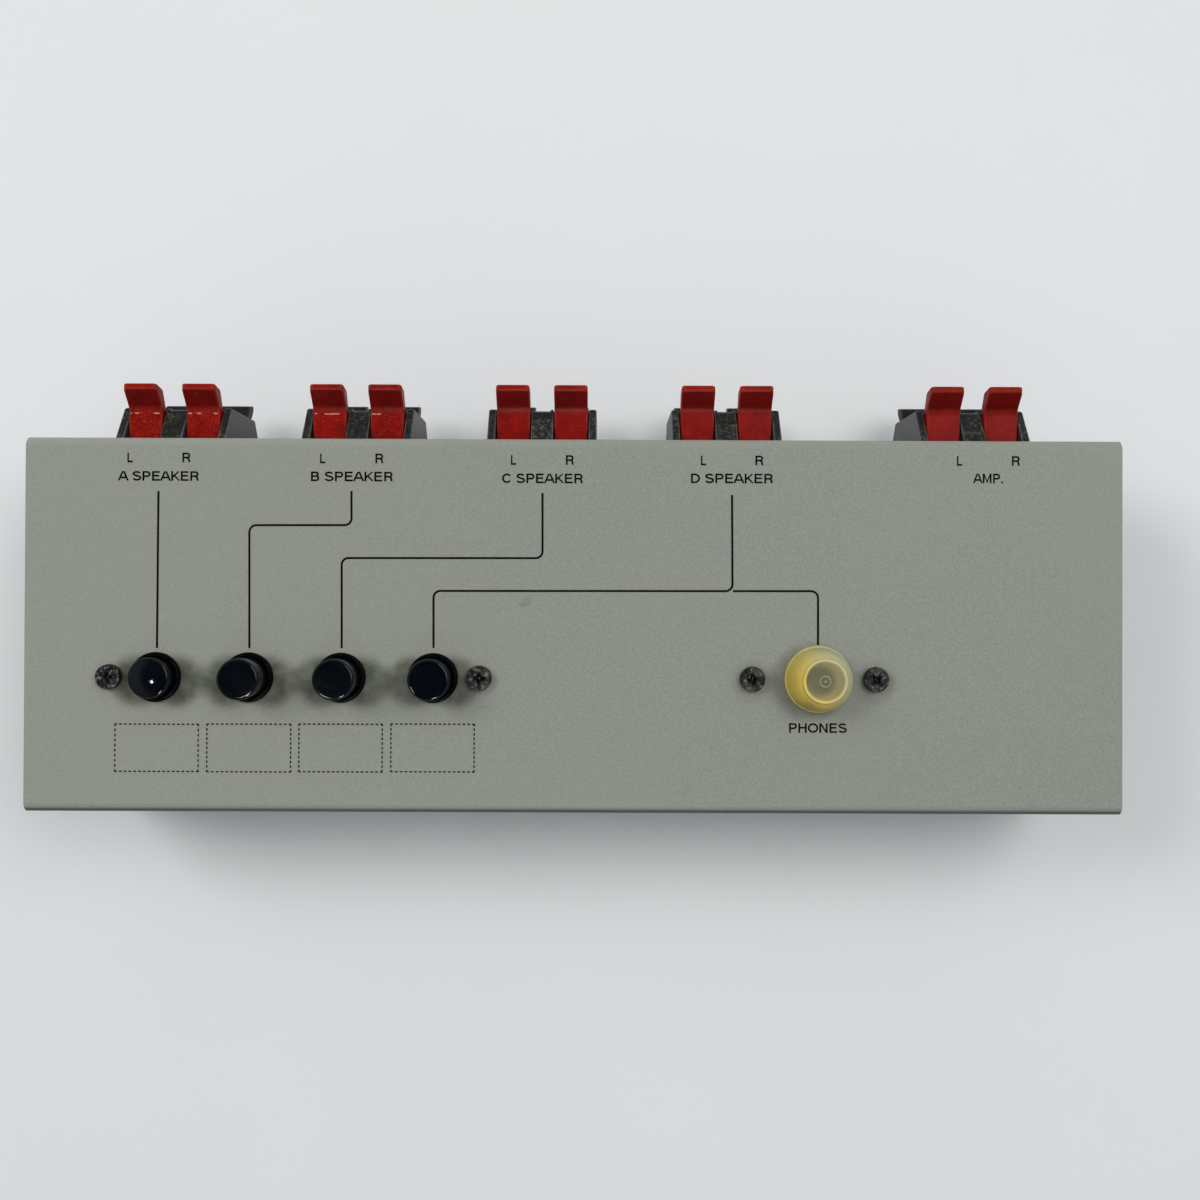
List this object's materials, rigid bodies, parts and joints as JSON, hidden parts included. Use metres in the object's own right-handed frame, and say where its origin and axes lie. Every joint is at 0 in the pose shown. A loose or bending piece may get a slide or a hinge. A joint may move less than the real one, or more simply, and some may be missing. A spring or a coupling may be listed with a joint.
{
  "type": "speaker selector switch",
  "caption": "Flat sheet-metal switch box with latching push buttons, a capped headphone jack and spring-lever wire terminals along its rear wall.",
  "frame": {"origin": "centre of the underside of the whole box that the part fills, lever tips included; the feet stand on Z = 0", "axes": "+X to the right along the case, +Y to the rear wall with the terminals, +Z out of the button panel"},
  "size_m": [0.238, 0.0944, 0.055],
  "materials": {
    "grey_paint": "fine matte paint",
    "foot_rubber": "matte",
    "black_screw": "black oxide, worn",
    "zinc_steel": "zinc plated",
    "button_black": "glossy",
    "bezel_black": "glossy",
    "slider_white": "natural",
    "switch_plastic": "matte",
    "spring_steel": "drawn wire",
    "block_black": "moulded, dusty",
    "contact_metal": "tinned",
    "lever_red": "satin",
    "lever_black": "satin",
    "jack_black": "moulded",
    "aged_cap": "aged translucent",
    "board_resin": "paper laminate",
    "resistor_body": "lacquered"
  },
  "bodies": {
    "case": {"top_cover": "grey_paint", "base_tray": "grey_paint", "rubber_feet": "foot_rubber", "panel_screws": "black_screw", "terminal_screws": "black_screw", "foot_screws": "zinc_steel", "switch_bracket": "zinc_steel", "jack_bracket": "zinc_steel", "button_bezels": "bezel_black", "switch_housing_a": "switch_plastic", "switch_housing_b": "switch_plastic", "switch_housing_c": "switch_plastic", "switch_housing_d": "switch_plastic", "return_spring_a": "spring_steel", "return_spring_b": "spring_steel", "return_spring_c": "spring_steel", "return_spring_d": "spring_steel", "terminal_housing_a": "block_black", "terminal_housing_b": "block_black", "terminal_housing_c": "block_black", "terminal_housing_d": "block_black", "terminal_housing_amp": "block_black", "jack_contacts": "contact_metal", "contacts_a": "contact_metal", "contacts_b": "contact_metal", "contacts_c": "contact_metal", "contacts_d": "contact_metal", "contacts_amp": "contact_metal", "jack_body": "jack_black", "main_board": "board_resin", "phones_resistors": "resistor_body"},
    "button_a": {"button_a": "button_black", "plunger_a": "slider_white"},
    "button_b": {"button_b": "button_black", "plunger_b": "slider_white"},
    "button_c": {"button_c": "button_black", "plunger_c": "slider_white"},
    "button_d": {"button_d": "button_black", "plunger_d": "slider_white"},
    "lever_a_left_red": {"lever_a_left_red": "lever_red"},
    "lever_a_left_black": {"lever_a_left_black": "lever_black"},
    "lever_a_right_red": {"lever_a_right_red": "lever_red"},
    "lever_a_right_black": {"lever_a_right_black": "lever_black"},
    "lever_b_left_red": {"lever_b_left_red": "lever_red"},
    "lever_b_left_black": {"lever_b_left_black": "lever_black"},
    "lever_b_right_red": {"lever_b_right_red": "lever_red"},
    "lever_b_right_black": {"lever_b_right_black": "lever_black"},
    "lever_c_left_red": {"lever_c_left_red": "lever_red"},
    "lever_c_left_black": {"lever_c_left_black": "lever_black"},
    "lever_c_right_red": {"lever_c_right_red": "lever_red"},
    "lever_c_right_black": {"lever_c_right_black": "lever_black"},
    "lever_d_left_red": {"lever_d_left_red": "lever_red"},
    "lever_d_left_black": {"lever_d_left_black": "lever_black"},
    "lever_d_right_red": {"lever_d_right_red": "lever_red"},
    "lever_d_right_black": {"lever_d_right_black": "lever_black"},
    "lever_amp_left_red": {"lever_amp_left_red": "lever_red"},
    "lever_amp_left_black": {"lever_amp_left_black": "lever_black"},
    "lever_amp_right_red": {"lever_amp_right_red": "lever_red"},
    "lever_amp_right_black": {"lever_amp_right_black": "lever_black"},
    "dust_cap": {"dust_cap": "aged_cap"}
  },
  "joints": [
    {"name": "button_a_press", "type": "slide", "parent": "case", "child": "button_a", "axis": [0, 0, -1], "range_m": [-0.003, 0.001], "deforming": ["return_spring_a"]},
    {"name": "button_b_press", "type": "slide", "parent": "case", "child": "button_b", "axis": [0, 0, -1], "range_m": [0, 0.004], "stiffness_N_per_m": 600, "springref_m": -0.002, "deforming": ["return_spring_b"]},
    {"name": "button_c_press", "type": "slide", "parent": "case", "child": "button_c", "axis": [0, 0, -1], "range_m": [0, 0.004], "stiffness_N_per_m": 600, "springref_m": -0.002, "deforming": ["return_spring_c"]},
    {"name": "button_d_press", "type": "slide", "parent": "case", "child": "button_d", "axis": [0, 0, -1], "range_m": [0, 0.004], "stiffness_N_per_m": 600, "springref_m": -0.002, "deforming": ["return_spring_d"]},
    {"name": "lever_a_left_red_press", "type": "hinge", "parent": "case", "child": "lever_a_left_red", "pos_m": [-0.09677, 0.03035, 0.0336], "axis": [-1, 0, 0], "range_deg": [0, 10], "stiffness_Nm_per_rad": 0.1, "springref_deg": -8.59},
    {"name": "lever_a_left_black_press", "type": "hinge", "parent": "case", "child": "lever_a_left_black", "pos_m": [-0.09677, 0.03035, 0.0156], "axis": [1, 0, 0], "range_deg": [0, 10], "stiffness_Nm_per_rad": 0.1, "springref_deg": -8.59},
    {"name": "lever_a_right_red_press", "type": "hinge", "parent": "case", "child": "lever_a_right_red", "pos_m": [-0.08382, 0.03035, 0.0336], "axis": [-1, 0, 0], "range_deg": [0, 10], "stiffness_Nm_per_rad": 0.1, "springref_deg": -8.59},
    {"name": "lever_a_right_black_press", "type": "hinge", "parent": "case", "child": "lever_a_right_black", "pos_m": [-0.08382, 0.03035, 0.0156], "axis": [1, 0, 0], "range_deg": [0, 10], "stiffness_Nm_per_rad": 0.1, "springref_deg": -8.59},
    {"name": "lever_b_left_red_press", "type": "hinge", "parent": "case", "child": "lever_b_left_red", "pos_m": [-0.05536, 0.03035, 0.0336], "axis": [-1, 0, 0], "range_deg": [0, 10], "stiffness_Nm_per_rad": 0.1, "springref_deg": -8.59},
    {"name": "lever_b_left_black_press", "type": "hinge", "parent": "case", "child": "lever_b_left_black", "pos_m": [-0.05536, 0.03035, 0.0156], "axis": [1, 0, 0], "range_deg": [0, 10], "stiffness_Nm_per_rad": 0.1, "springref_deg": -8.59},
    {"name": "lever_b_right_red_press", "type": "hinge", "parent": "case", "child": "lever_b_right_red", "pos_m": [-0.04241, 0.03035, 0.0336], "axis": [-1, 0, 0], "range_deg": [0, 10], "stiffness_Nm_per_rad": 0.1, "springref_deg": -8.59},
    {"name": "lever_b_right_black_press", "type": "hinge", "parent": "case", "child": "lever_b_right_black", "pos_m": [-0.04241, 0.03035, 0.0156], "axis": [1, 0, 0], "range_deg": [0, 10], "stiffness_Nm_per_rad": 0.1, "springref_deg": -8.59},
    {"name": "lever_c_left_red_press", "type": "hinge", "parent": "case", "child": "lever_c_left_red", "pos_m": [-0.01395, 0.03035, 0.0336], "axis": [-1, 0, 0], "range_deg": [0, 10], "stiffness_Nm_per_rad": 0.1, "springref_deg": -8.59},
    {"name": "lever_c_left_black_press", "type": "hinge", "parent": "case", "child": "lever_c_left_black", "pos_m": [-0.01395, 0.03035, 0.0156], "axis": [1, 0, 0], "range_deg": [0, 10], "stiffness_Nm_per_rad": 0.1, "springref_deg": -8.59},
    {"name": "lever_c_right_red_press", "type": "hinge", "parent": "case", "child": "lever_c_right_red", "pos_m": [-0.001, 0.03035, 0.0336], "axis": [-1, 0, 0], "range_deg": [0, 10], "stiffness_Nm_per_rad": 0.1, "springref_deg": -8.59},
    {"name": "lever_c_right_black_press", "type": "hinge", "parent": "case", "child": "lever_c_right_black", "pos_m": [-0.001, 0.03035, 0.0156], "axis": [1, 0, 0], "range_deg": [0, 10], "stiffness_Nm_per_rad": 0.1, "springref_deg": -8.59},
    {"name": "lever_d_left_red_press", "type": "hinge", "parent": "case", "child": "lever_d_left_red", "pos_m": [0.02746, 0.03035, 0.0336], "axis": [-1, 0, 0], "range_deg": [0, 10], "stiffness_Nm_per_rad": 0.1, "springref_deg": -8.59},
    {"name": "lever_d_left_black_press", "type": "hinge", "parent": "case", "child": "lever_d_left_black", "pos_m": [0.02746, 0.03035, 0.0156], "axis": [1, 0, 0], "range_deg": [0, 10], "stiffness_Nm_per_rad": 0.1, "springref_deg": -8.59},
    {"name": "lever_d_right_red_press", "type": "hinge", "parent": "case", "child": "lever_d_right_red", "pos_m": [0.04041, 0.03035, 0.0336], "axis": [-1, 0, 0], "range_deg": [0, 10], "stiffness_Nm_per_rad": 0.1, "springref_deg": -8.59},
    {"name": "lever_d_right_black_press", "type": "hinge", "parent": "case", "child": "lever_d_right_black", "pos_m": [0.04041, 0.03035, 0.0156], "axis": [1, 0, 0], "range_deg": [0, 10], "stiffness_Nm_per_rad": 0.1, "springref_deg": -8.59},
    {"name": "lever_amp_left_red_press", "type": "hinge", "parent": "case", "child": "lever_amp_left_red", "pos_m": [0.08292, 0.03035, 0.0336], "axis": [-1, 0, 0], "range_deg": [0, 10], "stiffness_Nm_per_rad": 0.1, "springref_deg": -8.59},
    {"name": "lever_amp_left_black_press", "type": "hinge", "parent": "case", "child": "lever_amp_left_black", "pos_m": [0.08292, 0.03035, 0.0156], "axis": [1, 0, 0], "range_deg": [0, 10], "stiffness_Nm_per_rad": 0.1, "springref_deg": -8.59},
    {"name": "lever_amp_right_red_press", "type": "hinge", "parent": "case", "child": "lever_amp_right_red", "pos_m": [0.09587, 0.03035, 0.0336], "axis": [-1, 0, 0], "range_deg": [0, 10], "stiffness_Nm_per_rad": 0.1, "springref_deg": -8.59},
    {"name": "lever_amp_right_black_press", "type": "hinge", "parent": "case", "child": "lever_amp_right_black", "pos_m": [0.09587, 0.03035, 0.0156], "axis": [1, 0, 0], "range_deg": [0, 10], "stiffness_Nm_per_rad": 0.1, "springref_deg": -8.59},
    {"name": "dust_cap_pull", "type": "slide", "parent": "case", "child": "dust_cap", "axis": [0, 0, 1], "range_m": [0, 0.06]}
  ]
}
